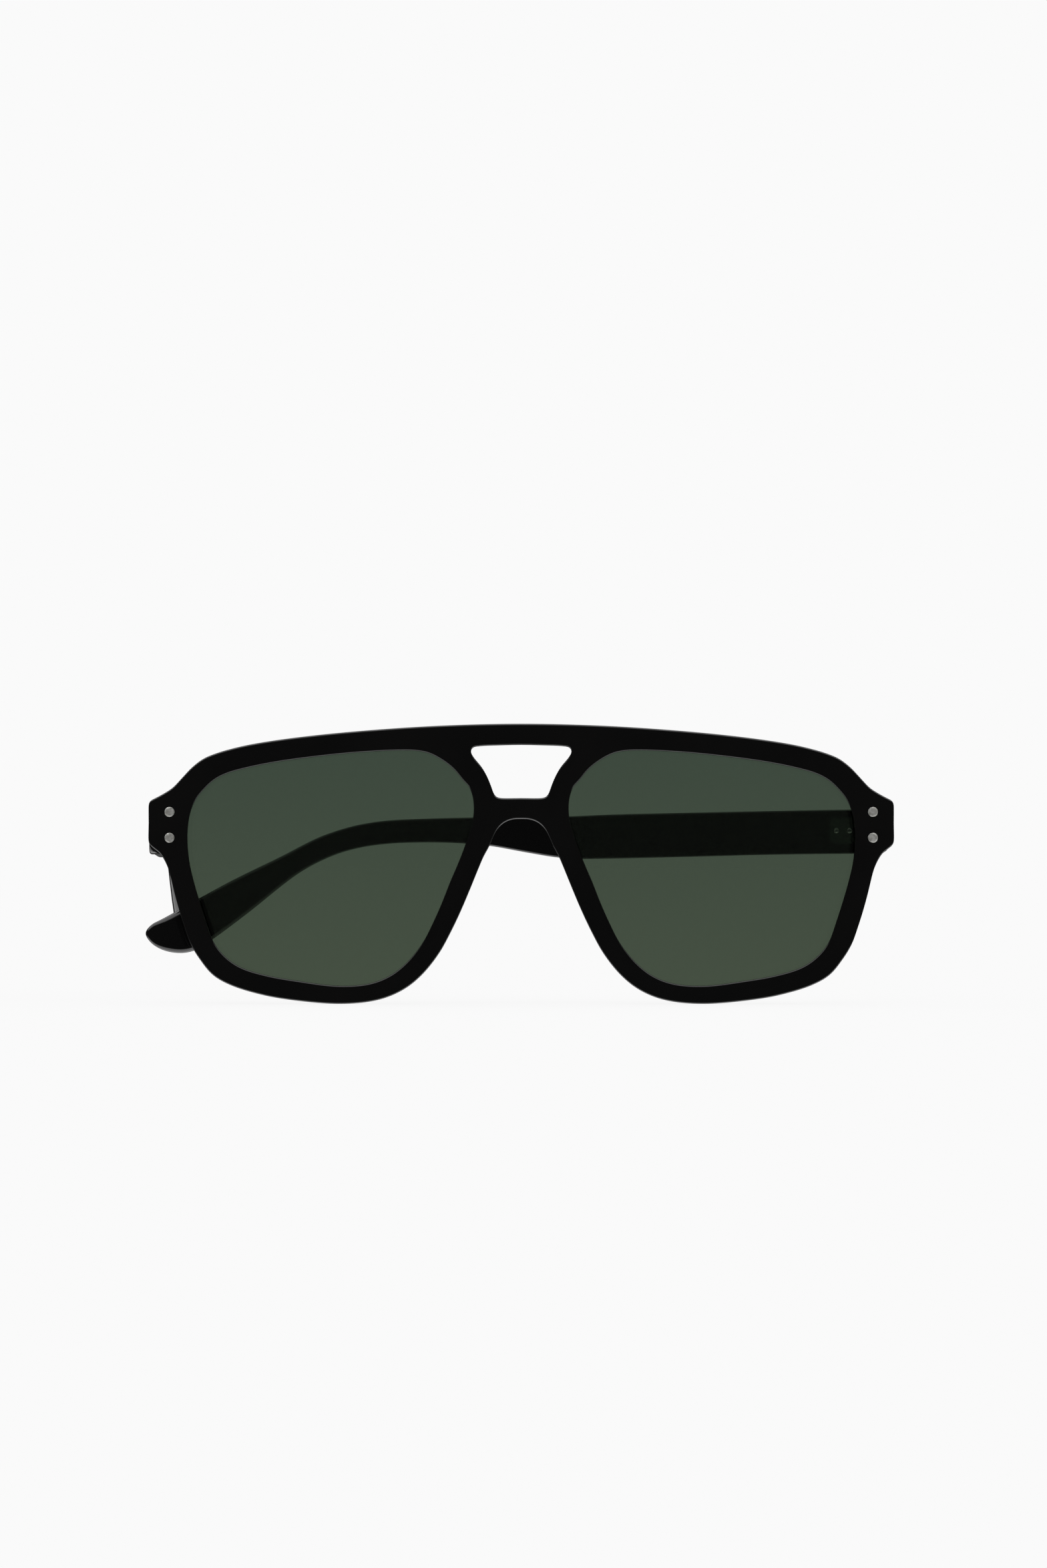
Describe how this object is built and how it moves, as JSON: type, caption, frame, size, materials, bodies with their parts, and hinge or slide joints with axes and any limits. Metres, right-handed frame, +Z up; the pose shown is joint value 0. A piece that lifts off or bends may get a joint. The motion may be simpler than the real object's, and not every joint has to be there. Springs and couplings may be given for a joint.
{
  "type": "sunglasses",
  "caption": "Thick acetate aviator sunglasses with a double bridge, tinted lenses and folding temples on riveted barrel hinges",
  "frame": {"origin": "on the surface that the rims stand on, under the middle of the object with one temple open and one folded", "axes": "+Z up, -Y the way the wearer looks, +X towards the wearer's left"},
  "size_m": [0.1478, 0.1552, 0.0552],
  "materials": {
    "black_acetate": "polished",
    "green_lens": "polished tint",
    "steel": "polished"
  },
  "bodies": {
    "front": {"front_frame": "black_acetate", "lens_right": "green_lens", "nose_pad_right": "black_acetate", "front_hinge_right": "steel", "hinge_screw_right": "steel", "front_rivet_upper_right": "steel", "front_rivet_lower_right": "steel", "lens_left": "green_lens", "nose_pad_left": "black_acetate", "front_hinge_left": "steel", "hinge_screw_left": "steel", "front_rivet_upper_left": "steel", "front_rivet_lower_left": "steel"},
    "temple_right": {"temple_right": "black_acetate", "core_wire_right": "steel", "temple_hinge_right": "steel", "temple_rivet_near_right": "steel", "temple_rivet_far_right": "steel"},
    "temple_left": {"temple_left": "black_acetate", "core_wire_left": "steel", "temple_hinge_left": "steel", "temple_rivet_near_left": "steel", "temple_rivet_far_left": "steel"}
  },
  "joints": [
    {"name": "temple_right_hinge", "type": "hinge", "parent": "front", "child": "temple_right", "pos_m": [-0.0677, -0.0644, 0.034], "axis": [0, 0, 1], "range_deg": [-81, 0]},
    {"name": "temple_left_hinge", "type": "hinge", "parent": "front", "child": "temple_left", "pos_m": [0.0677, -0.0644, 0.034], "axis": [0, 0, -1], "range_deg": [0, 90]}
  ]
}
